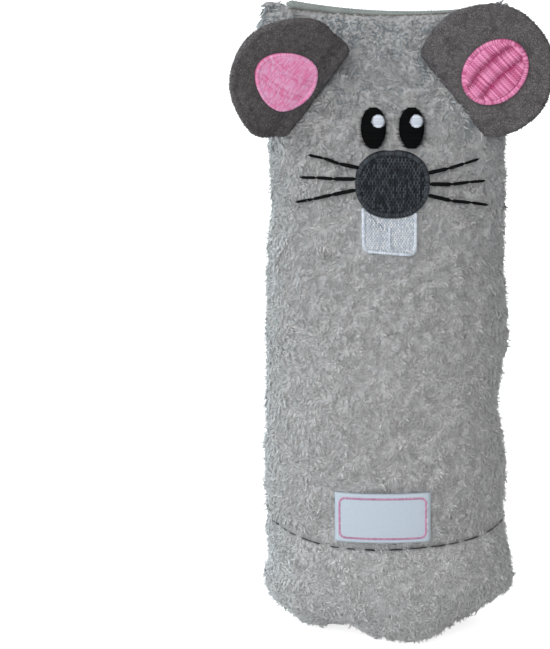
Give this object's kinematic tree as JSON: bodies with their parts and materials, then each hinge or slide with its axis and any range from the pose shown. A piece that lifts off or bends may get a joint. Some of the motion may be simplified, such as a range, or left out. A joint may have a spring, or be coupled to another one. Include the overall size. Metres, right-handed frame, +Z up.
{
  "type": "stuffed plush cat toy",
  "caption": "Stuffed plush mouse that stands on an oval base, with a pinched flat top, sewn cloth ears that flop, an embroidered face and a herb sachet inside.",
  "frame": {"origin": "middle of the flat oval underside that the toy stands on", "axes": "+Z up along the body, the face looks along -Y, +X is the viewer's right when facing it"},
  "size_m": [0.1166, 0.0664, 0.2451],
  "materials": {
    "plush": "grey curly pile cloth",
    "knit_strip": "smooth knit",
    "stuffing": "loose polyester fibre",
    "pouch_cloth": "thin nonwoven cloth",
    "herb": "dried crushed leaves",
    "ear_cloth": "dark brushed cloth",
    "pink_thread": "satin embroidery",
    "black_thread": "satin embroidery",
    "nose_thread": "filled embroidery",
    "white_thread": "satin embroidery",
    "seam_thread": "sewing thread",
    "label_weave": "woven satin label"
  },
  "bodies": {
    "body": {"front_panel": "plush", "back_panel": "plush", "base_band": "plush", "base_panel": "plush", "top_seam_strip": "knit_strip", "front_filling": "stuffing", "back_filling": "stuffing", "base_filling": "stuffing", "sachet_front": "pouch_cloth", "sachet_back": "pouch_cloth", "dried_catnip": "herb", "base_seam_thread": "seam_thread", "left_eye": "black_thread", "right_eye": "black_thread", "left_eye_glint": "white_thread", "right_eye_glint": "white_thread", "nose": "nose_thread", "nose_rim": "nose_thread", "left_tooth": "white_thread", "right_tooth": "white_thread", "teeth_rim": "white_thread", "teeth_divider": "white_thread", "label": "label_weave", "label_left_stitching": "white_thread", "label_right_stitching": "white_thread", "left_upper_whisker": "black_thread", "left_middle_whisker": "black_thread", "left_lower_whisker": "black_thread", "right_upper_whisker": "black_thread", "right_middle_whisker": "black_thread", "right_lower_whisker": "black_thread"},
    "left_ear": {"left_ear_front": "ear_cloth", "left_ear_back": "ear_cloth", "left_ear_patch": "pink_thread"},
    "right_ear": {"right_ear_front": "ear_cloth", "right_ear_back": "ear_cloth", "right_ear_patch": "pink_thread"}
  },
  "joints": [
    {"name": "left_ear_flex", "type": "hinge", "parent": "body", "child": "left_ear", "pos_m": [-0.0245, -0.0141, 0.211], "axis": [0.6018, 0, 0.7986], "range_deg": [-46, 85], "stiffness_Nm_per_rad": 0.02},
    {"name": "right_ear_flex", "type": "hinge", "parent": "body", "child": "right_ear", "pos_m": [0.0245, -0.0141, 0.211], "axis": [0.6018, 0, -0.7986], "range_deg": [-20, 111], "stiffness_Nm_per_rad": 0.02}
  ]
}
